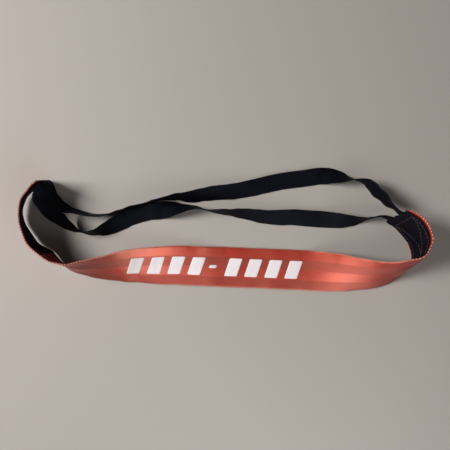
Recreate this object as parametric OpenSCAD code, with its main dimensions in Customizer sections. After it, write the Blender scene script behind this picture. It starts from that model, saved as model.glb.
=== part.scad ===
// Lanyard: a wide printed webbing band joined into one loop by two narrow ribbon straps.
// It lies on its side: the middle of the band is flat, both of its ends stand on edge.
// Frame: Z is up, Z = 0 is the surface that it lies on, X runs along the band. Units are mm.

/* [Webbing band] */
// Width of the wide woven band
band_width = 38; // [34:0.5:40]
// Thickness of the wide woven band
band_thickness = 1.4; // [1:0.1:1.6]

/* [Straps] */
// Width of each narrow ribbon strap
strap_width = 16; // [14:0.5:16]
// Thickness of each narrow ribbon strap
strap_thickness = 0.8; // [0.5:0.05:0.8]

/* [Lining patches] */
// Width of the patch sewn over the inner face at each end of the band
lining_width = 33.5; // [30:0.5:34]
// Length of each patch along the band
lining_length = 81; // [60:1:90]
// Thickness of each patch
lining_thickness = 0.6; // [0.4:0.05:0.8]

/* [Stitching] */
// Thickness of the sewing thread
thread_width = 0.6; // [0.4:0.1:0.8]
// Distance from one stitch to the next
stitch_pitch = 3.4; // [2.8:0.2:4.8]
// Distance from the edge of a patch to its box of stitches
seam_inset = 3.2; // [2.5:0.1:5]

/* [Print] */
// Height of the printed bars, across the band
print_height = 17; // [10:1:24]
// Width of one printed bar, along the band
print_bar = 12; // [6:1:14]
// Slant of the bars: how far the top is ahead of the foot
print_slant = 5; // [0:1:8]

/* [Hidden] */
// Clearance between one sewn layer and the next
layer_gap = 0.08;
// Thickness of the printed film
print_film = 0.12;
// Distance of a lining patch and of a strap's last sewn point from the end of the band
lining_start = 3;
// How far in from the end of the band the strap ends reach
tail_reach = 26;
// Offset of a strap's middle from the middle of the band
tail_offset = strap_width / 2 + 0.4;
// Layers below the inner face of the band, measured from the middle of the band
strap_layer = -(band_thickness / 2 + layer_gap + strap_thickness / 2);
lining_low = -(band_thickness / 2 + layer_gap + lining_thickness / 2);
lining_high = lining_low - strap_thickness - layer_gap;

// How far the routes move along x, so that the origin is under the middle of the lanyard
centre_shift = 2.3;

// Route of the band: x, y, lift of its lower edge, lean of its width, bulge of its middle.
// A lean of 0 lies flat, 90 stands on edge, and more than 90 leans to the right of the route.
band_route = [
    [-164, 44, 3, 84, 0], [-173, 38, 3, 78, 0], [-181, 29, 4, 73, 0], [-184, 18, 4, 72, 0],
    [-183, 7, 3, 75, 0], [-178, -4, 3, 80, 0], [-172, -14, 3, 85, 0], [-161, -22, 2, 90, 0],
    [-151, -30, 1, 85, 0], [-140, -35, 0, 75, 0], [-127, -36, 0, 64, 0], [-113, -36, 0, 54, 0],
    [-98, -35, 0, 43, 0], [-82, -34, 0, 31, 0], [-62, -34, 0, 19, 0], [-42, -34, 1, 10, 0],
    [-20, -35, 1, 5, 0], [2, -36, 0, 0, 0], [26, -37, 0, 0, 0], [50, -38, 0, 0, 0],
    [74, -39, 0, 0, 0], [93, -40, 0, 7, 0], [111, -41, 0, 22, 0], [127, -42, 0, 34, 0],
    [141, -42, 0, 43, 0], [153, -40, 0, 51, 1], [163, -36, 0, 60, 3], [172, -30, 0, 72, 4],
    [178, -24, 0, 87, 4], [180, -16, 0, 99, 2], [180, -9, 0, 108, 0], [176, -1, 0, 114, 0],
    [170, 6, 0, 115, 0], [161, 12, 0, 111, 0]];

// Route of the front strap, from the left end of the band to the right: x, y, lift, lean
front_route = [
    [-160, 43, 22, 94], [-157, 41, 22, 103], [-160, 36, 22, 118], [-163, 31, 22, 134],
    [-163, 27, 22, 140], [-160, 23, 21, 140], [-157, 18, 20, 138], [-154, 14, 19, 134],
    [-149, 10, 13, 125], [-145, 6, 8, 114], [-141, 2, 3, 102], [-135, -2, 0, 92], [-128, -4, 0, 82],
    [-119, -3, 0, 68], [-110, 0, 0, 46], [-102, 4, 0, 26], [-92, 9, 0, 16],
    [-80, 13, 0, 18], [-68, 16, 0, 22], [-54, 18, 0, -10], [-42, 19, 0, -45],
    [-33, 20, 0, -68], [-24, 20, 0, -80], [-16, 18, 0, -90], [-8, 17, 0, -98],
    [10, 15, 0, -116], [22, 14, 0, -128], [36, 12, 0, -140], [50, 11, 0, -152],
    [66, 11, 0, -160], [81, 10, 0, -166], [95, 9, 0, -166], [107, 8, 0, -154],
    [118, 8, 0, -135], [127, 8, 0, -114], [134, 9, 0, -99], [141, 11, 0, -92],
    [148, 12, 0, -97], [153, 11, 1, -113]];

// Route of the rear strap, from the left end of the band to the right: x, y, lift, lean
rear_route = [
    [-161, 44, 5, 90], [-160, 40, 4, 98], [-160, 34, 4, 110], [-156, 27, 3, 117],
    [-151, 22, 2, 117], [-144, 18, 1, 111], [-136, 16, 1, 103], [-128, 14, 0, 100],
    [-118, 13, 0, 99], [-108, 14, 0, 95], [-97, 17, 0, 92], [-85, 21, 0, 90],
    [-73, 24, 0, 90], [-63, 27, 0, 88], [-53, 29, 0, 80], [-43, 30, 0, 69],
    [-32, 30, 0, 54], [-20, 32, 0, 42], [-6, 34, 0, 34], [12, 36, 0, 26],
    [29, 39, 0, 12], [45, 43, 0, 6], [61, 46, 0, 5], [77, 48, 0, 5],
    [91, 50, 0, 8], [103, 50, 0, -20], [113, 48, 0, -52], [121, 47, 0, -78],
    [128, 46, 0, -92], [135, 43, 1, -104], [140, 38, 3, -114], [144, 33, 6, -114],
    [149, 28, 10, -107], [152, 23, 14, -97], [155, 19, 17, -95], [159, 15, 18, -111]];

// ---------- Curves and frames ----------

function unit(v) = v / norm(v);
// Smooth curve through four neighbouring points, at t from the second to the third
function through(a, b, c, d, t) =
    0.5 * (2 * b + (c - a) * t + (2 * a - 5 * b + 4 * c - d) * t * t
        + (3 * b - a - 3 * c + d) * t * t * t);
// A row of points made n times finer
function finer(c, n) = let (m = len(c)) concat(
    [for (i = [0:m - 2]) for (k = [0:n - 1])
        through(i == 0 ? 2 * c[0] - c[1] : c[i - 1], c[i], c[i + 1],
            i + 2 < m ? c[i + 2] : 2 * c[m - 1] - c[m - 2], k / n)],
    [c[m - 1]]);
// Direction of travel at each point
function travel(p) = let (m = len(p))
    [for (i = [0:m - 1]) unit(p[min(i + 1, m - 1)] - p[max(i - 1, 0)])];
// Height of the middle of a strip whose lower edge is at the given lift
function middle(r, w, t) =
    max(r[2], 0) + abs(sin(r[3])) * w / 2 + abs(cos(r[3])) * t / 2;
// Direction across a strip that travels along t and leans by the given angle
function across(t, lean) = let (side = unit(cross([0, 0, 1], t)), up = cross(t, side))
    side * cos(lean) + up * sin(lean);
// Distance along a row of points, up to each of them
function distances(p) = [for (i = 0, s = 0; i < len(p);
    s = s + (i + 1 < len(p) ? norm(p[i + 1] - p[i]) : 0), i = i + 1) s];

// A route moved along x to where it lies about the origin
function placed(route) = [for (r = route) [for (k = [0:len(r) - 1]) r[k] + (k == 0 ? centre_shift : 0)]];

// A frame holds its middle, the direction across, the direction out of its face, its bulge
function strip_frames(route, w, t, n) =
    let (r = finer(route, n), p = [for (q = r) [q[0], q[1], middle(q, w, t)]], d = travel(p))
    [for (i = [0:len(p) - 1]) let (a = across(d[i], r[i][3]))
        [p[i], a, cross(d[i], a), len(r[i]) > 4 ? max(r[i][4], 0) : 0]];

band = strip_frames(placed(band_route), band_width, band_thickness, 5);
band_far = distances([for (f = band) f[0]]);
band_end = band_far[len(band_far) - 1];
band_table = [for (i = [0:len(band_far) - 1]) [band_far[i], i]];

// The frame of the band at distance s along it
function band_at(s) =
    let (q = lookup(s, band_table), i = min(floor(q), len(band) - 2), f = q - i,
        a = band[i], b = band[i + 1])
    [a[0] * (1 - f) + b[0] * f, unit(a[1] * (1 - f) + b[1] * f),
        unit(a[2] * (1 - f) + b[2] * f), a[3] * (1 - f) + b[3] * f];
// The point w across and n out of a frame
function spot(f, w, n) =
    f[0] + f[1] * w + f[2] * (n + f[3] * (1 - 4 * w * w / (band_width * band_width)));

// Distances from one to another, at the band's own rings, so that sewn layers match it
function between(from, to) = concat([from],
    [for (s = band_far) if (s > from + 0.3 && s < to - 0.3) s], [to]);
// The point of a route at which a strap passes the band at distance s, travelling along t
function joining(s, w, turn, t) = let (f = band_at(s), p = spot(f, w, strap_layer),
    side = unit(cross([0, 0, 1], t)), a = f[1] * turn, lean = atan2(a * cross(t, side), a * side))
    [p[0], p[1], p[2] - middle([0, 0, 0, lean], strap_width, strap_thickness), lean];
// The frames of a strap's end, sewn to the band between two distances along it
function sewn(from, to, w, turn) = [for (s = between(from, to)) let (f = band_at(s))
    [spot(f, w, strap_layer), f[1] * turn, -f[2] * turn, 0]];
function reversed(v) = [for (i = [len(v) - 1:-1:0]) v[i]];

// A strap: its left end under one lining, its own route, and its right end under the other
function strap_frames(route, left, right) =
    let (out = unit(band_at(1)[0] - band_at(5)[0]),
        in = unit(band_at(band_end - 5)[0] - band_at(band_end - 1)[0]),
        s = lining_start,
        free = strip_frames(concat([joining(s + 4, left, 1, out), joining(s, left, 1, out)],
            placed(route),
            [joining(band_end - s, right, -1, in), joining(band_end - s - 4, right, -1, in)]),
            strap_width, strap_thickness, 3))
    concat(reversed(sewn(s + 0.5, tail_reach, left, 1)), [for (i = [4:len(free) - 5]) free[i]],
        reversed(sewn(band_end - tail_reach, band_end - s - 0.5, right, -1)));

// ---------- Solids ----------

// A closed strip: its outline is swept through a row of rings with k points each
module skin(rings) {
    k = len(rings[0]);
    m = len(rings);
    polyhedron(points = [for (r = rings) each r], faces = concat(
        [for (i = [0:m - 2]) for (j = [0:k - 1]) [i * k + j, (i + 1) * k + j, (i + 1) * k + (j + 1) % k]],
        [for (i = [0:m - 2]) for (j = [0:k - 1]) [i * k + j, (i + 1) * k + (j + 1) % k, i * k + (j + 1) % k]],
        [for (j = [1:k - 2]) [0, j, j + 1]],
        [for (j = [1:k - 2]) [(m - 1) * k, (m - 1) * k + j + 1, (m - 1) * k + j]]),
        convexity = 10);
}

// Outline of a strip cut into n parts across its width, as [across, out] pairs
function outline(w, t, n) = concat(
    [for (i = [0:n]) [-w / 2 + w * i / n, -t / 2]],
    [for (i = [n:-1:0]) [-w / 2 + w * i / n, t / 2]]);

module strip(frames, w, t, n) {
    skin([for (f = frames) [for (q = outline(w, t, n)) spot(f, q[0], q[1])]]);
}

// Middle of a lining patch, out of the middle of the band, at distance d from the band's end
function lining_layer(d) = lining_high
    + (lining_low - lining_high) * min(max((d - tail_reach - 1) / 7, 0), 1);

// A lining patch lies over the strap ends first and on the band itself past them
module lining(from_left) {
    reach = lining_start + lining_length;
    d = from_left ? between(lining_start, reach)
        : between(band_end - reach, band_end - lining_start);
    skin([for (s = d) let (f = band_at(s))
        [for (q = outline(lining_width, lining_thickness, 6))
            spot(f, q[0], q[1] + lining_layer(from_left ? s : band_end - s))]]);
}

// One stitch from a to b, each [distance from the band's end, across], on one face of the stack
module stitch(a, b, from_left, inner) {
    g = unit(b - a) * 0.5;
    h = [-g[1], g[0]] * thread_width;
    corner = [a - h, b - h, b + h, a + h];
    low = layer_gap;
    pts = [for (z = [low, low + thread_width / 2]) for (c = corner)
        let (f = band_at(from_left ? c[0] : band_end - c[0]),
            face = inner ? lining_layer(c[0]) - lining_thickness / 2 : band_thickness / 2)
        spot(f, c[1], inner ? face - z : face + z)];
    out = [[0, 1, 2], [0, 2, 3], [4, 6, 5], [4, 7, 6], [0, 5, 1], [0, 4, 5],
        [1, 6, 2], [1, 5, 6], [2, 7, 3], [2, 6, 7], [3, 4, 0], [3, 7, 4]];
    flip = from_left == inner;
    polyhedron(points = pts, faces = flip ? [for (t = out) [t[0], t[2], t[1]]] : out);
}

// A row of stitches from a to b, through the whole stack, so it shows on both faces
module seam(a, b, from_left) {
    n = max(1, floor(norm(b - a) / stitch_pitch));
    step = (b - a) / n;
    for (i = [0:n - 1]) for (inner = [true, false])
        stitch(a + step * (i + 0.2), a + step * (i + 0.8), from_left, inner);
}

// Corners of the box of stitches
near = lining_start + seam_inset;
far = lining_start + lining_length - seam_inset;
side = lining_width / 2 - seam_inset;

module box_stitching(from_left) {
    seam([near, -side], [far, -side], from_left);
    seam([far, -side], [far, side], from_left);
    seam([far, side], [near, side], from_left);
    seam([near, side], [near, -side], from_left);
}

// The cross joins the corners of the box, and one arm leaves the middle clear for the other
module cross_stitching(from_left) {
    inset = [2, 1];
    seam([near, -side] + inset, [far, side] - inset, from_left);
    mid = [(near + far) / 2, 0];
    gap = unit([far - near, -2 * side]) * 1.4;
    seam([near, side] + [2, -1], mid - gap, from_left);
    seam(mid + gap, [far, -side] + [-2, 1], from_left);
}

// ---------- Pieces ----------

module webbing_band() color("coral") strip(band, band_width, band_thickness, 6);
module front_strap() color("black")
    strip(strap_frames(front_route, tail_offset, -tail_offset), strap_width, strap_thickness, 1);
module rear_strap() color("dimgray")
    strip(strap_frames(rear_route, -tail_offset, tail_offset), strap_width, strap_thickness, 1);
module left_lining() color("darkslategray") lining(true);
module right_lining() color("darkslategray") lining(false);
module left_box_stitching() color("lightsalmon") box_stitching(true);
module right_box_stitching() color("lightsalmon") box_stitching(false);
module left_cross_stitching() color("pink") cross_stitching(true);
module right_cross_stitching() color("pink") cross_stitching(false);

// One slanted bar of printed film, its foot starting at distance s along the band
module bar(s, length, height, slant) {
    parts = 4;
    steps = 4;
    low = band_thickness / 2 + layer_gap;
    skin([for (i = [0:steps])
        let (row = [for (j = [0:parts])
            [s + length * i / steps + slant * j / parts, -height / 2 + height * j / parts]])
        concat(
            [for (c = row) spot(band_at(c[0]), c[1], low)],
            [for (j = [parts:-1:0]) spot(band_at(row[j][0]), row[j][1], low + print_film)])]);
}

// Two groups of bars with a short dash between them, along the flat middle of the band
print_pitch = print_bar + 7;
print_start = 159;
module printed_bars() color("white") {
    for (i = [0:3]) bar(print_start + i * print_pitch, print_bar, print_height, print_slant);
    bar(print_start + 4 * print_pitch + 1, 7, 3, 1);
    for (i = [0:3])
        bar(print_start + 4 * print_pitch + 16 + i * print_pitch, print_bar, print_height,
            print_slant);
}

webbing_band();
front_strap();
rear_strap();
left_lining();
right_lining();
left_box_stitching();
right_box_stitching();
left_cross_stitching();
right_cross_stitching();
printed_bars();
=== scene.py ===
"""The looks of a neck lanyard that lies on a floor: a coral webbing band with printed bars,
two black ribbons, two black patches sewn over the ribbon ends, and the seams of thread."""

import math

import bpy
import numpy as np
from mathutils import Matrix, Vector


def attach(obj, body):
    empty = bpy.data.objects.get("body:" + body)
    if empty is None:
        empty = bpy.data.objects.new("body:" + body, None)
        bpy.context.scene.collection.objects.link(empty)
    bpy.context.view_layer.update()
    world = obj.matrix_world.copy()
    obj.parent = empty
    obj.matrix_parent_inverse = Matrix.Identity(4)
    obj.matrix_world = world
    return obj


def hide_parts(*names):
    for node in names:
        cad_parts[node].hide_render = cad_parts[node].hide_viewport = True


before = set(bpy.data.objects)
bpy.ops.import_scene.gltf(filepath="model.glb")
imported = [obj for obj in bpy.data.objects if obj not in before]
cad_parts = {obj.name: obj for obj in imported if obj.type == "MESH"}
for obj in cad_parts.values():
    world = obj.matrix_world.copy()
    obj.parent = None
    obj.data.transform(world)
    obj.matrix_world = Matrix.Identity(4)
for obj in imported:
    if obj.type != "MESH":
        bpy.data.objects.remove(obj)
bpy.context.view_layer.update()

MM = 0.001

# Letters in this file: s is a distance along the band or a strap, w one across it, n one out of
# its face, and d one from the band's nearer end. p is a point and a the way across the strip.

# ---------- Sizes and routes of the CAD part, in mm and degrees ----------

BAND_W, BAND_T = 38.0, 1.4
STRAP_W, STRAP_T = 16.0, 0.8
PATCH_W, PATCH_L, PATCH_T = 33.5, 81.0, 0.6
THREAD, STITCH_PITCH = 0.42, 3.4
# The space between two layers that are sewn together
GAP = 0.08
# Distances from the band's end: where a patch begins, and how far in a ribbon's end reaches
PATCH_START, TAIL_REACH = 3.0, 26.0
PATCH_END = PATCH_START + PATCH_L
# The length of a ribbon that is sewn down, at each of its ends
SEWN = TAIL_REACH - PATCH_START
# From the band's middle line to a ribbon's, where the ribbon is sewn down
TAIL_OFFSET = STRAP_W / 2 + 0.4
# How far the middle of each layer is from the middle of the band; inwards is negative
STRAP_LAYER = -(BAND_T / 2 + GAP + STRAP_T / 2)
PATCH_LOW = -(BAND_T / 2 + GAP + PATCH_T / 2)
PATCH_HIGH = PATCH_LOW - STRAP_T - GAP
# A patch's seams: the two ends of the box, and half of its width
SEAM_NEAR, SEAM_FAR, SEAM_SIDE = 6.2, 80.8, 13.55
# The break in one line of the cross, on each side of the box's middle
CROSS_BREAK = 1.4
PRINT_H, PRINT_BAR, PRINT_SLANT, PRINT_START, PRINT_PITCH = 17.0, 12.0, 5.0, 159.0, 19.0
BARS_PER_ROW = 4
DASH_START = PRINT_START + BARS_PER_ROW * PRINT_PITCH + 1
DASH_L, DASH_H, DASH_SLANT = 7, 3, 1
SECOND_START = DASH_START + 15

# x, y, lift of the lower edge, lean of the width, bulge of the middle
BAND_ROUTE = [
    (-164, 44, 3, 84, 0), (-173, 38, 3, 78, 0), (-181, 29, 4, 73, 0), (-184, 18, 4, 72, 0),
    (-183, 7, 3, 75, 0), (-178, -4, 3, 80, 0), (-172, -14, 3, 85, 0), (-161, -22, 2, 90, 0),
    (-151, -30, 1, 85, 0), (-140, -35, 0, 75, 0), (-127, -36, 0, 64, 0), (-113, -36, 0, 54, 0),
    (-98, -35, 0, 43, 0), (-82, -34, 0, 31, 0), (-62, -34, 0, 19, 0), (-42, -34, 1, 10, 0),
    (-20, -35, 1, 5, 0), (2, -36, 0, 0, 0), (26, -37, 0, 0, 0), (50, -38, 0, 0, 0),
    (74, -39, 0, 0, 0), (93, -40, 0, 7, 0), (111, -41, 0, 22, 0), (127, -42, 0, 34, 0),
    (141, -42, 0, 43, 0), (153, -40, 0, 51, 1), (163, -36, 0, 60, 3), (172, -30, 0, 72, 4),
    (178, -24, 0, 87, 4), (180, -16, 0, 99, 2), (180, -9, 0, 108, 0), (176, -1, 0, 114, 0),
    (170, 6, 0, 115, 0), (161, 12, 0, 111, 0)]
FRONT_ROUTE = [
    (-160, 43, 22, 94), (-157, 41, 22, 103), (-160, 36, 22, 118), (-163, 31, 22, 134),
    (-163, 27, 22, 140), (-160, 23, 21, 140), (-157, 18, 20, 138), (-154, 14, 19, 134),
    (-149, 10, 13, 125), (-145, 6, 8, 114), (-141, 2, 3, 102), (-135, -2, 0, 92),
    (-128, -4, 0, 82), (-119, -3, 0, 68), (-110, 0, 0, 46), (-102, 4, 0, 26),
    (-92, 9, 0, 16), (-80, 13, 0, 18), (-68, 16, 0, 22), (-54, 18, 0, -10),
    (-42, 19, 0, -45), (-33, 20, 0, -68), (-24, 20, 0, -80), (-16, 18, 0, -90),
    (-8, 17, 0, -98), (10, 15, 0, -116), (22, 14, 0, -128), (36, 12, 0, -140),
    (50, 11, 0, -152), (66, 11, 0, -160), (81, 10, 0, -166), (95, 9, 0, -166),
    (107, 8, 0, -154), (118, 8, 0, -135), (127, 8, 0, -114), (134, 9, 0, -99),
    (141, 11, 0, -92), (148, 12, 0, -97), (153, 11, 1, -113)]
REAR_ROUTE = [
    (-161, 44, 5, 90), (-160, 40, 4, 98), (-160, 34, 4, 110), (-156, 27, 3, 117),
    (-151, 22, 2, 117), (-144, 18, 1, 111), (-136, 16, 1, 103), (-128, 14, 0, 100),
    (-118, 13, 0, 99), (-108, 14, 0, 95), (-97, 17, 0, 92), (-85, 21, 0, 90),
    (-73, 24, 0, 90), (-63, 27, 0, 88), (-53, 29, 0, 80), (-43, 30, 0, 69),
    (-32, 30, 0, 54), (-20, 32, 0, 42), (-6, 34, 0, 34), (12, 36, 0, 26),
    (29, 39, 0, 12), (45, 43, 0, 6), (61, 46, 0, 5), (77, 48, 0, 5),
    (91, 50, 0, 8), (103, 50, 0, -20), (113, 48, 0, -52), (121, 47, 0, -78),
    (128, 46, 0, -92), (135, 43, 1, -104), (140, 38, 3, -114), (144, 33, 6, -114),
    (149, 28, 10, -107), (152, 23, 14, -97), (155, 19, 17, -95), (159, 15, 18, -111)]

# How far the routes move along x, so that the frame's origin is under the middle
CENTRE_SHIFT = 2.3

# ---------- Details that only this model has, in mm ----------

# From one satin stripe of the band to the next, and from one selvedge loop to the next
STRIPE_PITCH, LOOP_PITCH = 19.0, 2.4
# How far a patch's folded hem reaches towards the band's end and past it
HEM = 5.2
# How far the left patch's far end runs askew, as a share of the distance across
LEFT_SKEW = 0.13
# Pitches of the weaves: the band's, a ribbon's and a patch's
TWILL, WARP, WEFT = 0.95, 0.55, 0.62
RIB, RIBBON_WARP = 0.8, 0.4
PATCH_WEFT, PATCH_WARP = 0.9, 0.45
# Steps from one row of a route to the next
ROUTE_STEPS = 24
# From one station of the finished band or strap to the next
BAND_STEP, STRAP_STEP = 0.4, 0.5

# ---------- Curves and frames ----------


def unit(v):
    return v / np.linalg.norm(v, axis=-1, keepdims=True)


def placed(route):
    """A route's rows in the frame of the part."""
    return [(row[0] + CENTRE_SHIFT, *row[1:]) for row in route]


def finer(route, n):
    """A smooth curve through a route's rows, n steps from each row to the next."""
    c = np.array(route, float)
    c = np.vstack([2 * c[0] - c[1], c, 2 * c[-1] - c[-2]])
    t = np.arange(n)[:, None] / n
    rows = []
    for i in range(1, len(c) - 2):
        a, b, d, e = c[i - 1:i + 3]
        rows.append(0.5 * (2 * b + (d - a) * t + (2 * a - 5 * b + 4 * d - e) * t ** 2
                           + (3 * b - a - 3 * d + e) * t ** 3))
    return np.vstack(rows + [c[-2:-1]])


def middle(lift, lean, w, t):
    """Height of the middle of a strip whose lower edge is at that lift; lean in radians."""
    return np.maximum(lift, 0) + np.abs(np.sin(lean)) * w / 2 + np.abs(np.cos(lean)) * t / 2


class Strip:
    """A row of frames: the middle, the way across, the way out of the face, and the bulge."""

    def __init__(self, p, a, n, bulge=None, step=BAND_STEP):
        bulge = np.zeros(len(p)) if bulge is None else bulge
        far = np.concatenate([[0], np.cumsum(np.linalg.norm(np.diff(p, axis=0), axis=1))])
        count = int(round(far[-1] / step))
        self.length = far[-1]
        self.s = np.linspace(0, far[-1], count + 1)
        self.p, self.a, self.n = (self.pick(v, far, self.s) for v in (p, a, n))
        self.a, self.n = unit(self.a), unit(self.n)
        self.bulge = np.interp(self.s, far, bulge)

    @staticmethod
    def pick(v, far, s):
        return np.stack([np.interp(s, far, v[:, k]) for k in range(3)], axis=-1)

    def at(self, s):
        s = np.asarray(s, float)
        p, a, n = (self.pick(v, self.s, s) for v in (self.p, self.a, self.n))
        beyond = np.minimum(s, 0) + np.maximum(s - self.length, 0)
        p = p + np.cross(a, n) * beyond[..., None]
        return p, unit(a), unit(n), np.interp(s, self.s, self.bulge)


def route_frames(route, w, t):
    r = finer(route, ROUTE_STEPS)
    lean = np.radians(r[:, 3])
    p = np.column_stack([r[:, 0], r[:, 1], middle(r[:, 2], lean, w, t)])
    d = unit(np.gradient(p, axis=0))
    side = unit(np.cross([0, 0, 1], d))
    up = np.cross(d, side)
    a = side * np.cos(lean)[:, None] + up * np.sin(lean)[:, None]
    bulge = np.maximum(r[:, 4], 0) if r.shape[1] > 4 else np.zeros(len(r))
    return p, a, np.cross(d, a), bulge


def ripple(s, *terms):
    """A sum of sines of (wavelength in mm, height in mm, phase)."""
    return sum(height * np.sin(2 * math.pi * np.asarray(s) / length + phase)
               for length, height, phase in terms)


def smooth(x, low, high):
    """From 0 at low to 1 at high, without a corner at either."""
    t = np.clip((np.asarray(x, float) - low) / (high - low), 0, 1)
    return t * t * (3 - 2 * t)


band = Strip(*route_frames(placed(BAND_ROUTE), BAND_W, BAND_T))
BAND_END = band.length


def wave(s, w):
    """Soft unevenness of the band, which every layer that is sewn to it follows."""
    near, far = PATCH_END, PATCH_END + 20
    free = smooth(s, near, far) * (1 - smooth(s, BAND_END - far, BAND_END - near))
    edge = np.abs(np.asarray(w) / (BAND_W / 2)) ** 3
    side = np.sign(w)
    wavy = ripple(s, (37, 0.22, 0.4), (23, 0.14, 1.9), (61, 0.2, 2.6))
    curl = ripple(s + 9 * side, (29, 0.26, 0.3), (17, 0.15, 2.2), (53, 0.2, 4.1))
    return (wavy * 0.5 + edge * curl) * (0.35 + 0.65 * free)


def spot(s, w, n):
    """The point s along the band, w across it and n out of its middle, in mm."""
    p, a, out, bulge = band.at(s)
    w, n = np.asarray(w, float), np.asarray(n, float)
    rise = n + bulge * (1 - 4 * w * w / BAND_W ** 2) + wave(s, w)
    return p + a * w[..., None] + out * rise[..., None]


# ---------- Seams, as the CAD part has them: (distance from the band's end, across) ----------


def seam_lines():
    """The four sides of the box, and the lines of the cross, of which one has a break."""
    near, far, side = SEAM_NEAR, SEAM_FAR, SEAM_SIDE
    box = [((near, -side), (far, -side)), ((far, -side), (far, side)),
           ((far, side), (near, side)), ((near, side), (near, -side))]
    mid = np.array([(near + far) / 2, 0])
    way = np.array([far - near, -2 * side])
    gap = way / np.linalg.norm(way) * CROSS_BREAK
    near, far, side = near + 2, far - 2, side - 1
    cross = [((near, -side), (far, side)),
             ((near, side), tuple(mid - gap)), (tuple(mid + gap), (far, -side))]
    return box, cross


BOX_SEAM, CROSS_SEAM = seam_lines()


def seam_distance(d, w):
    """How far a point of the patch is from the nearest seam, in mm."""
    here = np.stack(np.broadcast_arrays(d, w), axis=-1).astype(float)
    best = np.full(here.shape[:-1], np.inf)
    for start, stop in BOX_SEAM + CROSS_SEAM:
        start, line = np.array(start), np.array(stop) - np.array(start)
        t = np.clip(((here - start) @ line) / (line @ line), 0, 1)
        nearest = start + t[..., None] * line
        best = np.minimum(best, np.linalg.norm(here - nearest, axis=-1))
    return best


def from_end(s):
    """Distance from the nearer end of the band."""
    return np.minimum(s, BAND_END - np.asarray(s, float))


def patch_layer(d):
    """The patch's layer at that distance from the end: it steps down past the ribbons' ends."""
    step_start, step_length = TAIL_REACH + 1, 7
    return PATCH_HIGH + (PATCH_LOW - PATCH_HIGH) * np.clip((d - step_start) / step_length, 0, 1)


def dimple(s, w, depth, reach):
    """The groove that the thread pulls into the cloth along each seam."""
    d = from_end(s)
    tug = 0.8 + 0.2 * np.cos(2 * math.pi * d / STITCH_PITCH)
    return depth * tug * np.exp(-(seam_distance(d, w) / reach) ** 2)


# ---------- Meshes ----------


def make_mesh(name, points, faces, cloth):
    """A piece from points in mm, with each point's place in its own cloth as an attribute."""
    mesh = bpy.data.meshes.new(name)
    mesh.from_pydata((np.asarray(points) * MM).tolist(), [], faces)
    mesh.validate()
    mesh.polygons.foreach_set("use_smooth", [True] * len(mesh.polygons))
    layer = mesh.attributes.new("cloth", "FLOAT_VECTOR", "POINT")
    layer.data.foreach_set("vector", np.asarray(cloth, np.float32).ravel())
    mesh.update()
    piece = bpy.data.objects.new(name, mesh)
    bpy.context.scene.collection.objects.link(piece)
    return piece


def sheet_solid(low, high, s, w):
    """A closed solid between two grids of points (stations x across x 3).

    Its third value is each point's place in the cloth: along, across, and -1 or 1 for the side.
    """
    m, k = low.shape[:2]
    points = np.concatenate([low.reshape(-1, 3), high.reshape(-1, 3)])
    cloth = np.concatenate([
        np.stack([s, w, np.full(s.shape, f)], axis=-1).reshape(-1, 3) for f in (-1.0, 1.0)])
    i, j = np.meshgrid(np.arange(m - 1), np.arange(k - 1), indexing="ij")
    a = (i * k + j).ravel()
    under = np.stack([a, a + 1, a + k + 1, a + k], axis=1)
    over = under[:, ::-1] + m * k
    faces = [under, over]
    row = np.arange(m - 1) * k
    for j0, turn in ((0, 1), (k - 1, -1)):
        rim = np.stack([row + j0, row + k + j0, row + k + j0 + m * k, row + j0 + m * k], axis=1)
        faces.append(rim[:, ::turn])
    col = np.arange(k - 1)
    for i0, turn in ((0, 1), (m - 1, -1)):
        cap = np.stack([col + i0 * k, col + i0 * k + m * k, col + 1 + i0 * k + m * k,
                        col + 1 + i0 * k], axis=1)
        faces.append(cap[:, ::turn])
    return points, np.concatenate(faces), cloth


def joined(parts):
    """Several (points, faces, cloth) as one."""
    points, faces, cloth, base = [], [], [], 0
    for p, f, c in parts:
        points.append(p)
        faces.append(np.asarray(f) + base)
        cloth.append(c)
        base += len(p)
    return np.concatenate(points), np.concatenate(faces), np.concatenate(cloth)


def rounded(inside, radius):
    """Share of the full thickness that far inside an edge which is rounded over."""
    x = np.clip(inside / radius, 0, 1)
    return 0.3 + 0.7 * np.sqrt(1 - (1 - x) ** 2)


def edge_columns(half, inner, steps):
    """Positions across a strip, close together near both of its edges."""
    core = np.linspace(-(half - inner), half - inner, steps)
    rim = half - inner * np.array([0.62, 0.3, 0.1, 0.0])
    return np.concatenate([-rim[::-1], core, rim])


def band_mesh():
    """The band: rounded woven selvedges with small loops of weft along them."""
    half = BAND_W / 2
    w0 = edge_columns(half, 1.6, 37)
    s = np.broadcast_to(band.s[:, None], (len(band.s), len(w0)))
    base = np.broadcast_to(w0, s.shape)
    loop_depth, loop_middle, groove_depth, groove_half = 1.1, 0.6, 0.07, 0.35
    loop = 0.5 + 0.5 * np.cos(2 * math.pi * s / LOOP_PITCH)
    loop_share = smooth(np.abs(base), half - loop_depth, half)
    slack = ripple(s + 40 * np.sign(base), (19, 0.12, 0.2), (7.3, 0.06, 1.1))
    w = base + np.sign(base) * loop_share * (loop_depth * loop - loop_middle + slack)
    share = rounded(half - np.abs(base), 1.3)
    stripe = np.cos(2 * math.pi * base / STRIPE_PITCH)
    past_line = np.abs(base) % (STRIPE_PITCH / 2)
    groove = groove_depth * np.exp(-(past_line / groove_half) ** 2) * (np.abs(base) < half - 1)
    relief = 0.03 * stripe - groove
    on_patch = (from_end(s) < PATCH_END + 4).astype(float)
    outer = BAND_T / 2 * share + relief - dimple(s, base, 0.16, 1.0) * on_patch
    inner = -BAND_T / 2 * share
    low, high = spot(s, w, inner), spot(s, w, outer)
    low[..., 2], high[..., 2] = np.maximum(low[..., 2], 0), np.maximum(high[..., 2], 0.25)
    return sheet_solid(low, high, s, base)


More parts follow.
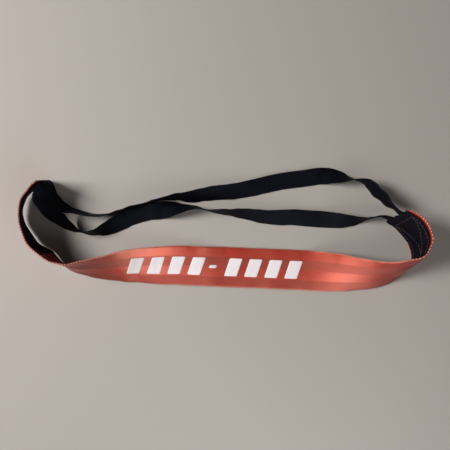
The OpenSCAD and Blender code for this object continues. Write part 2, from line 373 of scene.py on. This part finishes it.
def joining(s, w, turn, way):
    """A route's row for a ribbon that leaves the band at (s, w), heading that way."""
    p = spot(np.array(s), np.array(w), np.array(STRAP_LAYER))
    a = band.at(s)[1] * turn
    side = unit(np.cross([0, 0, 1], way))
    lean = math.atan2(a @ np.cross(way, side), a @ side)
    return (p[0], p[1], p[2] - middle(0, lean, STRAP_W, STRAP_T), math.degrees(lean))


def strap_strip(route, left, right):
    """A strap: sewn to the band at both ends, left and right across it, and free between."""
    end, s, n, lead = BAND_END, PATCH_START, ROUTE_STEPS, 4
    out = unit(band.at(1)[0] - band.at(5)[0])
    back = unit(band.at(end - 5)[0] - band.at(end - 1)[0])
    whole = [joining(s + lead, left, 1, out), joining(s, left, 1, out), *placed(route),
             joining(end - s, right, -1, back), joining(end - s - lead, right, -1, back)]
    free = route_frames(whole, STRAP_W, STRAP_T)
    cut = slice(4 * n // 3, len(free[0]) - 4 * n // 3)

    def sewn(near, far, w, turn):
        at = np.linspace(near, far, 46)
        p = spot(at, np.full(at.shape, w), np.full(at.shape, STRAP_LAYER))
        a, out_of = band.at(at)[1:3]
        return p, a * turn, -out_of * turn

    # The sewn lengths end just under the patch's edge, and the free one begins past it
    head = sewn(TAIL_REACH, s + 0.5, left, 1)
    tail = sewn(end - s - 0.5, end - TAIL_REACH, right, -1)
    parts = [np.concatenate([h, f[cut], t]) for h, f, t in zip(head, free[:3], tail)]
    return eased(Strip(*parts, step=STRAP_STEP))


def eased(strip, reach=3.0):
    """The same strip with its bends softened, except where it is sewn down."""
    offsets = np.arange(-12, 13)
    weight = np.exp(-(offsets * STRAP_STEP / reach) ** 2)
    pick = np.clip(np.arange(len(strip.s))[:, None] + offsets, 0, len(strip.s) - 1)
    near, far = SEWN + 6, SEWN + 18
    free = smooth(strip.s, near, far) * (
        1 - smooth(strip.s, strip.length - far, strip.length - near))
    for name in ("p", "a", "n"):
        v = getattr(strip, name)
        soft = (v[pick] * weight[:, None]).sum(axis=1) / weight.sum()
        setattr(strip, name, v + (soft - v) * free[:, None])
    strip.a, strip.n = unit(strip.a), unit(strip.n)
    return strip


def strap_mesh(strip, shift, pinches, pleats):
    """A soft ribbon, with its own shift of the ripples.

    Each pinch is (place, reach, share of the width left), and each pleat (place, reach,
    height, folds across the ribbon, turn along it).
    """
    half = STRAP_W / 2
    w0 = edge_columns(half, 0.9, 29)
    s = np.broadcast_to(strip.s[:, None], (len(strip.s), len(w0)))
    base = np.broadcast_to(w0, s.shape)
    near, far = SEWN, SEWN + 10
    sewn_share = 1 - smooth(s, near, far) * (
        1 - smooth(s, strip.length - far, strip.length - near))
    width, fold = np.ones(s.shape), np.zeros(s.shape)
    for place, reach, left in pinches:
        width = width * (1 - (1 - left) * np.exp(-((s - place) / reach) ** 2))
    for place, reach, height, folds, turn in pleats:
        pull = np.exp(-((s - place) / reach) ** 2)
        fold = fold + pull * height * np.sin(
            2 * math.pi * folds * base / STRAP_W + 0.9 * shift + turn * (s - place))
    cup = ripple(s + 31 * shift, (67, 0.45, 0.5), (41, 0.3, 2.0), (23, 0.12, 3.9))
    cup = cup * ((base / half) ** 2 - 0.4)
    edge = (np.abs(base) / half) ** 4 * ripple(
        s + 13 * np.sign(base) + 50 * shift, (19, 0.22, 0.9), (11, 0.14, 2.4), (33, 0.2, 0.1))
    lift = (cup + edge) * (1 - sewn_share) + fold
    share = rounded(half - np.abs(base), 0.8)
    picot = 0.1 * smooth(np.abs(base), half - 0.4, half) * np.cos(2 * math.pi * s / 1.3)
    w = base * width + np.sign(base) * picot
    n_low, n_high = lift - STRAP_T / 2 * share, lift + STRAP_T / 2 * share
    p, a, out = strip.p[:, None], strip.a[:, None], strip.n[:, None]
    low = p + a * w[..., None] + out * n_low[..., None]
    high = p + a * w[..., None] + out * n_high[..., None]
    for grid in (low, high):
        grid[..., 2] = np.maximum(grid[..., 2], 0.02)
    return sheet_solid(low, high, s, base)


def askew(d, w, from_left):
    """Place along the band of a point of a patch; the left one is sewn a little askew."""
    if from_left:
        return d - LEFT_SKEW * w * np.clip((d - PATCH_START) / PATCH_L, 0, 1)
    return BAND_END - d


def patch_mesh(from_left):
    """A patch: its edges are folded under, it stands proud between the seams, and its hem
    lifts over the ribbons where they come out from under it."""
    half = PATCH_W / 2
    w0 = edge_columns(half, 1.2, 57)
    first, last = PATCH_START - HEM, PATCH_END
    rim = np.array([0, 0.1, 0.35, 0.75])
    d0 = np.concatenate([first + rim, np.linspace(first + 1.2, last - 1.2, 136),
                         last - rim[::-1]])
    d, w = (np.array(g, float) for g in np.meshgrid(d0, w0, indexing="ij"))
    ends = np.minimum(d - first, last - d)
    inside = np.minimum(half - np.abs(w), ends)
    share = rounded(inside, 0.9)
    seam = seam_distance(d, w)
    puff = 0.42 * (1 - np.exp(-(seam / 2.2) ** 2)) * smooth(inside, 0, 2.4)
    puff = puff * (1 + 0.35 * ripple(d + 1.7 * w, (11, 0.6, 0.3), (7, 0.5, 1.2)))
    hem = 0.16 * np.exp(-((inside - 1.5) / 1.0) ** 2)
    pucker = 0.10 * np.exp(-(seam / 1.6) ** 2) * np.cos(2 * math.pi * d / STITCH_PITCH)
    gather = (1 - smooth(d, first, PATCH_START + 3.0)) * (
        0.9 + ripple(w, (6.2, 0.42, 0.7), (3.9, 0.26, 2.1), (10.5, 0.3, 1.0)))
    worn = ripple(d, (13, 0.12, 0.8), (5.7, 0.07, 2.9)) * smooth(np.abs(w), half - 1.2, half)
    frayed = ripple(w, (9, 0.3, 1.4), (4.1, 0.2, 0.3)) * np.sign(d - (first + last) / 2)
    tip = 1 - smooth(ends, 0, 2.0)
    layer = patch_layer(d) + 1.3 * smooth(PATCH_START - d, 3.4, HEM)
    s = askew(d + frayed * tip * np.where(d < PATCH_START + 5, 1.4, 0.5), w, from_left)
    wide = w + np.sign(w) * worn
    back = layer - gather + PATCH_T / 2 * share
    face = layer - gather - PATCH_T / 2 * share - (puff + hem + pucker * 0.5) * share
    low, high = spot(s, wide, face), spot(s, wide, back)
    for grid in (low, high):
        grid[..., 2] = np.maximum(grid[..., 2], 0.05)
    points, faces, cloth = sheet_solid(low, high, d, w)
    return points, faces if from_left else faces[:, ::-1], cloth


def tube_faces(rings, sides):
    """The faces of a closed tube of rings of points, with a fan over each end."""
    i, j = np.meshgrid(np.arange(rings - 1), np.arange(sides), indexing="ij")
    after = (j + 1) % sides
    wall = np.stack([i * sides + j, (i + 1) * sides + j, (i + 1) * sides + after,
                     i * sides + after], axis=-1).reshape(-1, 4)
    fan = np.array([[0, k, k + 1, k + 2] for k in range(1, sides - 1, 2)])
    return np.concatenate([wall, fan, (fan + (rings - 1) * sides)[:, ::-1]])


def stitch(start, stop, aside, number, inner, from_left):
    """One stitch of twisted thread: it bows out of the cloth and dips in at both ends."""
    rings, sides = 9, 8
    t = np.linspace(0, 1, rings)[:, None]
    turn = np.linspace(0, 2 * math.pi, sides, endpoint=False)
    along = start + (stop - start) * t + aside * 0.10 * math.sin(number * 2.4)
    bow = np.sin(math.pi * t) ** 0.5
    radius = THREAD / 2 * (0.55 + 0.45 * bow) * (1 + 0.05 * np.cos(9 * t + number))
    height = -0.20 + (0.26 + 0.05 * math.sin(number * 1.7)) * bow + radius * np.sin(turn)
    d = along[:, :1] + aside[0] * radius * np.cos(turn)
    w = along[:, 1:] + aside[1] * radius * np.cos(turn)
    if inner:
        n = patch_layer(along[:, :1]) - PATCH_T / 2 - height
    else:
        n = BAND_T / 2 - 0.08 + height
    points = spot(askew(d, w, from_left), w, n)
    faces = tube_faces(rings, sides)
    if from_left != inner:
        faces = faces[:, ::-1]
    # The cloth's third value is a number of the stitch on the patch, and -1 on the band
    shape = points.shape[:2]
    cloth = np.stack([np.broadcast_to(t * np.linalg.norm(stop - start), shape),
                      np.broadcast_to(turn, shape),
                      np.full(shape, number % 17 + 1.0 if inner else -1.0)], axis=-1)
    return points.reshape(-1, 3), faces, cloth.reshape(-1, 3)


def stitches(lines, from_left):
    """Seams along the lines, with each stitch on both faces of the stack."""
    parts = []
    number = 0
    for first, last in lines:
        first, line = np.array(first, float), np.array(last, float) - np.array(first, float)
        length = np.linalg.norm(line)
        count = max(1, int(length / STITCH_PITCH))
        step = line / count
        aside = np.array([-line[1], line[0]]) / length
        for i in range(count):
            for inner in (True, False):
                number += 1
                parts.append(stitch(first + step * (i + 0.12), first + step * (i + 0.88), aside,
                                    number, inner, from_left))
    return joined(parts)


def bar(s0, length, height, slant):
    """One slanted bar of printed film, with rounded corners, on the band's outer face."""
    step, corner, film, crown = 0.6, min(0.9, height / 2.5), 0.05, 0.10
    up = np.linspace(0, 1, max(7, int(height / step)))[:, None]
    along = np.linspace(0, 1, max(9, int(length / step)))
    y = -height / 2 + height * up
    gap = np.minimum(y + height / 2, height / 2 - y)
    inset = corner - np.sqrt(np.maximum(corner ** 2 - np.maximum(corner - gap, 0) ** 2, 0))
    s = s0 + slant * up + inset + (length - 2 * inset) * along
    s = s + 0.05 * np.sin(y * 2.1 + s0) * np.sign(along - 0.5)
    w = np.broadcast_to(y, s.shape)
    rim = np.minimum(np.minimum(along, 1 - along) * length, gap)
    bottom = BAND_T / 2 + 0.02
    low = spot(s, w, np.full(s.shape, bottom))
    high = spot(s, w, bottom + film + crown * smooth(rim, 0, 0.35))
    points, faces, cloth = sheet_solid(low, high, s, w)
    return points, faces[:, ::-1], cloth


def bar_row(start):
    return [bar(start + i * PRINT_PITCH, PRINT_BAR, PRINT_H, PRINT_SLANT)
            for i in range(BARS_PER_ROW)]


def bars():
    """The whole print: a row of bars, a dash and a second row."""
    dash = bar(DASH_START, DASH_L, DASH_H, DASH_SLANT)
    return joined(bar_row(PRINT_START) + [dash] + bar_row(SECOND_START))


# ---------- Materials ----------


class Cloth:
    """A material made from each mesh's own mm coordinates: u along, v across, and the face."""

    def __init__(self, name, **sockets):
        self.mat = bpy.data.materials.new(name)
        self.mat.use_nodes = True
        self.tree = self.mat.node_tree
        self.shader = self.tree.nodes["Principled BSDF"]
        for key, value in sockets.items():
            self.shader.inputs[key.replace("_", " ")].default_value = value
        place = self.node("ShaderNodeAttribute")
        place.attribute_name = "cloth"
        split = self.node("ShaderNodeSeparateXYZ")
        self.link(place.outputs["Vector"], split.inputs[0])
        self.u, self.v, self.face = split.outputs

    def node(self, kind):
        return self.tree.nodes.new(kind)

    def link(self, a, b):
        self.tree.links.new(a, b)

    def put(self, value, socket):
        if isinstance(value, (int, float, tuple)):
            socket.default_value = value
        else:
            self.link(value, socket)

    def math(self, op, a, b=None, c=None):
        n = self.node("ShaderNodeMath")
        n.operation = op
        for k, value in enumerate((a, b, c)):
            if value is not None:
                self.put(value, n.inputs[k])
        return n.outputs[0]

    def add(self, a, b):
        return self.math("ADD", a, b)

    def mul(self, a, b):
        return self.math("MULTIPLY", a, b)

    def wave(self, x, pitch, phase=0.0):
        """A wave of x from 0 to 1."""
        turn = self.math("SINE", self.math("MULTIPLY_ADD", x, 2 * math.pi / pitch, phase))
        return self.math("MULTIPLY_ADD", turn, 0.5, 0.5)

    def step(self, x, low, high):
        """From 0 where x is low to 1 where it is high."""
        n = self.node("ShaderNodeMapRange")
        n.interpolation_type = "SMOOTHSTEP"
        self.put(x, n.inputs["Value"])
        self.put(low, n.inputs["From Min"])
        self.put(high, n.inputs["From Max"])
        return n.outputs[0]

    def noise(self, u_scale, v_scale, detail=2.0, shift=0.0):
        """Noise from 0 to 1, with that many features per mm along and across. The shift
        makes two noises of one cloth differ."""
        at = self.node("ShaderNodeCombineXYZ")
        self.put(self.mul(self.u, u_scale), at.inputs[0])
        self.put(self.math("MULTIPLY_ADD", self.v, v_scale, shift), at.inputs[1])
        # The two faces are far enough apart for the noise to differ
        self.put(self.mul(self.face, 3.7), at.inputs[2])
        n = self.node("ShaderNodeTexNoise")
        n.inputs["Scale"].default_value = 1.0
        n.inputs["Detail"].default_value = detail
        self.link(at.outputs[0], n.inputs["Vector"])
        return n.outputs["Fac"]

    def mix(self, share, a, b, blend="MIX"):
        n = self.node("ShaderNodeMix")
        n.data_type = "RGBA"
        n.blend_type = blend
        self.put(share, n.inputs[0])
        self.put(a, n.inputs[6])
        self.put(b, n.inputs[7])
        return n.outputs[2]

    def shade(self, color, low, high, by):
        """The colour made darker or lighter, from low to high times, by a 0 to 1 value."""
        grey = self.math("MULTIPLY_ADD", by, high - low, low)
        rgb = self.node("ShaderNodeCombineColor")
        for k in range(3):
            self.link(grey, rgb.inputs[k])
        return self.mix(1.0, color, rgb.outputs[0], "MULTIPLY")

    def bump(self, height, strength, depth_mm):
        n = self.node("ShaderNodeBump")
        n.inputs["Strength"].default_value = strength
        n.inputs["Distance"].default_value = depth_mm * MM
        self.link(height, n.inputs["Height"])
        self.link(n.outputs["Normal"], self.shader.inputs["Normal"])

    def finish(self, color, roughness):
        self.put(color, self.shader.inputs["Base Color"])
        self.put(roughness, self.shader.inputs["Roughness"])
        return self.mat


# Colours of the cloths, as linear values
DEEP_CORAL, CORAL = (0.185, 0.005, 0.002, 1), (0.330, 0.018, 0.009, 1)
# The loops' lighter colour is partly wear and partly painted highlight; the shadow colour is
# painted shade in the gaps between them
SHEEN_AND_WEAR_CORAL, CORAL_SHADOW = (0.78, 0.38, 0.29, 1), (0.08, 0.014, 0.010, 1)
RIBBON_DARK, RIBBON_LIGHT = (0.0020, 0.0021, 0.0036, 1), (0.0044, 0.0047, 0.0078, 1)
RIBBON_EDGE = (0.013, 0.0135, 0.019, 1)
PATCH_DARK, PATCH_LIGHT = (0.0026, 0.0024, 0.0044, 1), (0.0058, 0.0052, 0.0098, 1)
LINT = (0.06, 0.05, 0.06, 1)
CORAL_THREAD, PINK_THREAD = (0.30, 0.048, 0.032, 1), (0.13, 0.072, 0.088, 1)
PRINT_WHITE, PRINT_CRACK = (0.93, 0.86, 0.89, 1), (0.62, 0.40, 0.36, 1)


def webbing_material():
    m = Cloth("woven_webbing", IOR=1.65, Specular_IOR_Level=0.8,
              Specular_Tint=(1.0, 0.42, 0.31, 1), Sheen_Weight=0.004, Sheen_Roughness=0.4,
              Sheen_Tint=(1.0, 0.62, 0.5, 1))
    # Stripes of satin: the float of the yarn turns over from one to the next
    stripe = m.wave(m.v, STRIPE_PITCH, math.pi)
    satin = m.step(stripe, 0.44, 0.56)
    lean = m.math("MULTIPLY_ADD", satin, 2.0, -1.0)
    twill = m.wave(m.add(m.u, m.mul(m.mul(m.v, lean), 0.8)), TWILL)
    warp = m.wave(m.v, WARP)
    weft = m.wave(m.u, WEFT)
    height = m.add(m.mul(twill, 0.5), m.add(m.mul(warp, 0.3), m.mul(weft, 0.2)))
    m.bump(height, 0.35, 0.12)
    streak = m.noise(0.02, 1.6, 3.0)
    cloud = m.noise(0.05, 0.06, 3.0, 7.0)
    fleck = m.noise(1.3, 1.3, 2.0, 3.0)
    color = m.mix(satin, DEEP_CORAL, CORAL)
    color = m.shade(color, 0.84, 1.16, streak)
    color = m.shade(color, 0.86, 1.14, cloud)
    color = m.shade(color, 0.66, 1.36, fleck)
    # Painted shade in the hollows of the weave and painted highlight on its raised yarns,
    # following the bump height
    color = m.shade(color, 0.70, 1.16, height)
    # The loops of the selvedges are painted lighter, partly rubbed wear and partly painted
    # highlight, and the gaps between them are painted shade
    edge = m.step(m.math("ABSOLUTE", m.v), BAND_W / 2 - 1.0, BAND_W / 2 - 0.3)
    loop = m.wave(m.u, LOOP_PITCH, math.pi / 2)
    sheen_and_wear = m.math("MULTIPLY_ADD", m.noise(0.4, 0.5, 3.0, 11.0), 0.5, 0.6)
    color = m.mix(m.mul(m.mul(edge, loop), sheen_and_wear), color, SHEEN_AND_WEAR_CORAL)
    # Painted shade in the gaps between the selvedge loops
    gap = m.mul(edge, m.math("MULTIPLY_ADD", loop, -0.55, 0.55))
    color = m.mix(gap, color, CORAL_SHADOW)
    rough = m.math("MULTIPLY_ADD", satin, -0.15, 0.50)
    rough = m.add(rough, m.mul(m.noise(0.3, 1.1, 2.0, 5.0), 0.08))
    return m.finish(color, rough)


def ribbon_material():
    m = Cloth("ribbed_ribbon", Specular_IOR_Level=0.04, Specular_Tint=(0.7, 0.8, 1.0, 1),
              Sheen_Weight=0.002, Sheen_Roughness=0.35, Sheen_Tint=(0.55, 0.65, 1.0, 1))
    rib = m.wave(m.u, RIB)
    warp = m.wave(m.v, RIBBON_WARP)
    height = m.add(m.mul(rib, 0.75), m.mul(warp, 0.25))
    m.bump(height, 0.6, 0.2)
    color = m.mix(m.noise(0.05, 0.15, 3.0), RIBBON_DARK, RIBBON_LIGHT)
    # Painted shade between the ribs and painted highlight on them, following the bump height
    color = m.shade(color, 0.7, 1.25, height)
    color = m.shade(color, 0.8, 1.25, m.noise(1.2, 1.6, 2.0, 4.0))
    edge = m.step(m.math("ABSOLUTE", m.v), STRAP_W / 2 - 1.1, STRAP_W / 2 - 0.3)
    color = m.mix(m.mul(edge, 0.4), color, RIBBON_EDGE)
    rough = m.math("MULTIPLY_ADD", m.noise(0.2, 0.4, 3.0, 9.0), 0.16, 0.48)
    return m.finish(color, rough)


def patch_material():
    m = Cloth("patch_cloth", Specular_IOR_Level=0.05, Specular_Tint=(0.8, 0.8, 1.0, 1),
              Sheen_Weight=0.005, Sheen_Roughness=0.4, Sheen_Tint=(0.6, 0.6, 0.95, 1))
    over = m.mul(m.wave(m.u, PATCH_WEFT), m.wave(m.v, PATCH_WARP))
    under = m.mul(m.wave(m.u, PATCH_WEFT, math.pi), m.wave(m.v, PATCH_WARP, math.pi))
    height = m.math("MAXIMUM", over, under)
    m.bump(height, 0.6, 0.2)
    color = m.mix(m.noise(0.08, 0.08, 4.0), PATCH_DARK, PATCH_LIGHT)
    # Painted shade in the hollows of the weave and painted highlight on its raised yarns,
    # following the bump height
    color = m.shade(color, 0.7, 1.3, height)
    lint = m.step(m.noise(0.9, 2.6, 2.0, 21.0), 0.735, 0.78)
    color = m.mix(m.mul(lint, 0.4), color, LINT)
    rough = m.math("MULTIPLY_ADD", m.noise(0.4, 0.4, 3.0, 2.0), 0.16, 0.58)
    return m.finish(color, rough)


def thread_material():
    m = Cloth("sewing_thread", Specular_IOR_Level=0.3, Sheen_Weight=0.05,
              Sheen_Roughness=0.35, Sheen_Tint=(1.0, 0.8, 0.8, 1))
    twist = m.wave(m.add(m.mul(m.u, 7.0), m.v), math.pi)
    m.bump(twist, 0.7, 0.08)
    # Dusty pink over the patches, coral like the webbing on its outer face
    inner = m.step(m.face, -0.5, 0.5)
    color = m.mix(inner, CORAL_THREAD, PINK_THREAD)
    color = m.shade(color, 0.7, 1.3, m.noise(0.6, 0.2, 2.0))
    # Painted shade in the grooves of the twist and painted highlight on its ridges, following
    # the bump
    color = m.shade(color, 0.6, 1.15, twist)
    return m.finish(color, m.math("MULTIPLY_ADD", twist, -0.1, 0.55))


def print_material():
    m = Cloth("printed_film", Specular_IOR_Level=0.3, Sheen_Weight=0.02)
    weave = m.add(m.mul(m.wave(m.v, WARP), 0.5), m.mul(m.wave(m.u, WEFT), 0.5))
    m.bump(weave, 0.25, 0.10)
    color = m.shade(PRINT_WHITE, 0.93, 1.05, m.noise(0.12, 0.12, 3.0))
    crack = m.step(m.noise(0.5, 2.4, 4.0, 17.0), 0.70, 0.76)
    color = m.mix(m.mul(crack, 0.45), color, PRINT_CRACK)
    # Painted shade in the hollows of the weave under the film and painted highlight on its
    # crests
    color = m.shade(color, 0.94, 1.03, weave)
    return m.finish(color, m.math("MULTIPLY_ADD", m.noise(0.3, 0.3, 2.0, 3.0), 0.15, 0.42))


# ---------- Pieces ----------

FLOOR_HALF, FLOOR_Z = 2, -0.0001

floor_mesh = bpy.data.meshes.new("floor")
floor_mesh.from_pydata([(x * FLOOR_HALF, y * FLOOR_HALF, FLOOR_Z)
                        for x, y in ((-1, -1), (1, -1), (1, 1), (-1, 1))], [], [(0, 1, 2, 3)])
floor = bpy.data.objects.new("floor", floor_mesh)
bpy.context.scene.collection.objects.link(floor)

webbing = make_mesh("webbing", *band_mesh())
front = strap_strip(FRONT_ROUTE, TAIL_OFFSET, -TAIL_OFFSET)
rear = strap_strip(REAR_ROUTE, -TAIL_OFFSET, TAIL_OFFSET)
# Both ribbons are drawn together and pleated where they go under a patch
front_out, rear_out = front.length - SEWN, rear.length - SEWN
front_ribbon = make_mesh("front_ribbon", *strap_mesh(
    front, shift=1,
    pinches=[(front_out - 7, 8, 0.36), (SEWN + 4, 6, 0.8)],
    pleats=[(front_out - 4, 6, 0.9, 2.6, 0.06), (SEWN + 3, 5, 0.5, 2.2, 0.05)]))
rear_ribbon = make_mesh("rear_ribbon", *strap_mesh(
    rear, shift=2,
    pinches=[(rear_out - 7, 10, 0.34), (SEWN + 4, 6, 0.8)],
    pleats=[(rear_out - 5, 7, 0.9, 2.6, 0.06), (SEWN + 3, 5, 0.5, 2.2, 0.05),
            (rear_out - 36, 9, 0.55, 1.3, 0.55)]))
left_patch = make_mesh("left_patch", *patch_mesh(True))
right_patch = make_mesh("right_patch", *patch_mesh(False))
left_box = make_mesh("left_box_seam", *stitches(BOX_SEAM, True))
right_box = make_mesh("right_box_seam", *stitches(BOX_SEAM, False))
left_cross = make_mesh("left_cross_seam", *stitches(CROSS_SEAM, True))
right_cross = make_mesh("right_cross_seam", *stitches(CROSS_SEAM, False))
print_bars = make_mesh("print_bars", *bars())

looks = {"webbing": webbing_material(), "ribbon": ribbon_material(), "lining": patch_material(),
         "thread": thread_material(), "print": print_material()}
for piece, node, slot in (
        (webbing, "webbing_band", "webbing"), (front_ribbon, "front_strap", "ribbon"),
        (rear_ribbon, "rear_strap", "ribbon"), (left_patch, "left_lining", "lining"),
        (right_patch, "right_lining", "lining"), (left_box, "left_box_stitching", "thread"),
        (right_box, "right_box_stitching", "thread"),
        (left_cross, "left_cross_stitching", "thread"),
        (right_cross, "right_cross_stitching", "thread"),
        (print_bars, "printed_bars", "print")):
    piece.data.materials.append(looks[slot])
    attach(piece, "root")
    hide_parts(node)

# ---------- Floor, light and camera ----------

plain = bpy.data.materials.new("plain_floor")
plain.use_nodes = True
shader = plain.node_tree.nodes["Principled BSDF"]
shader.inputs["Base Color"].default_value = (0.42, 0.387, 0.355, 1)
shader.inputs["Roughness"].default_value = 0.85
floor.data.materials.append(plain)


def area_light(name, place, aim, size, power, color):
    """A rectangular light in metres and watts, turned towards a point."""
    data = bpy.data.lights.new(name, "AREA")
    data.shape = "RECTANGLE"
    data.size, data.size_y = size
    data.energy, data.color = power, color
    lamp = bpy.data.objects.new(name, data)
    lamp.location = place
    lamp.rotation_euler = (Vector(aim) - Vector(place)).to_track_quat("-Z", "Y").to_euler()
    bpy.context.scene.collection.objects.link(lamp)
    return lamp


DAYLIGHT, WARM_LIGHT = (1.0, 0.98, 0.96), (1.0, 0.97, 0.95)
area_light("key", (-1.02, 0.20, 0.88), (-0.02, 0, 0), (0.5, 0.5), 22, DAYLIGHT)
area_light("fill", (0.60, -0.70, 0.80), (0.05, -0.03, 0), (1.0, 0.8), 2.8, WARM_LIGHT)
# Seen in reflections only: it makes the webbing's satin shine where it tilts forwards
satin = area_light("satin", (0.08, -0.27, 0.20), (0.08, -0.04, 0), (0.36, 0.28), 2.4,
                   WARM_LIGHT)
satin.visible_diffuse = False

world = bpy.data.worlds.new("soft_room")
world.use_nodes = True
background = world.node_tree.nodes["Background"]
background.inputs["Color"].default_value = (0.95, 0.97, 1.0, 1)
background.inputs["Strength"].default_value = 0.06
bpy.context.scene.world = world
bpy.context.scene.view_settings.view_transform = "Standard"

# The camera looks straight down from this height, and sees this width of the floor, in metres
CAMERA_X, CAMERA_Y, CAMERA_HEIGHT, VIEW_WIDTH = 0.00435, 0.0038, 0.494, 0.4275
SENSOR_MM = 36.0

camera = bpy.data.objects.new("camera", bpy.data.cameras.new("camera"))
camera.location = (CAMERA_X, CAMERA_Y, CAMERA_HEIGHT)
camera.data.sensor_width = SENSOR_MM
camera.data.lens = SENSOR_MM * CAMERA_HEIGHT / VIEW_WIDTH
camera.data.clip_start = 0.01
bpy.context.scene.collection.objects.link(camera)
bpy.context.scene.camera = camera
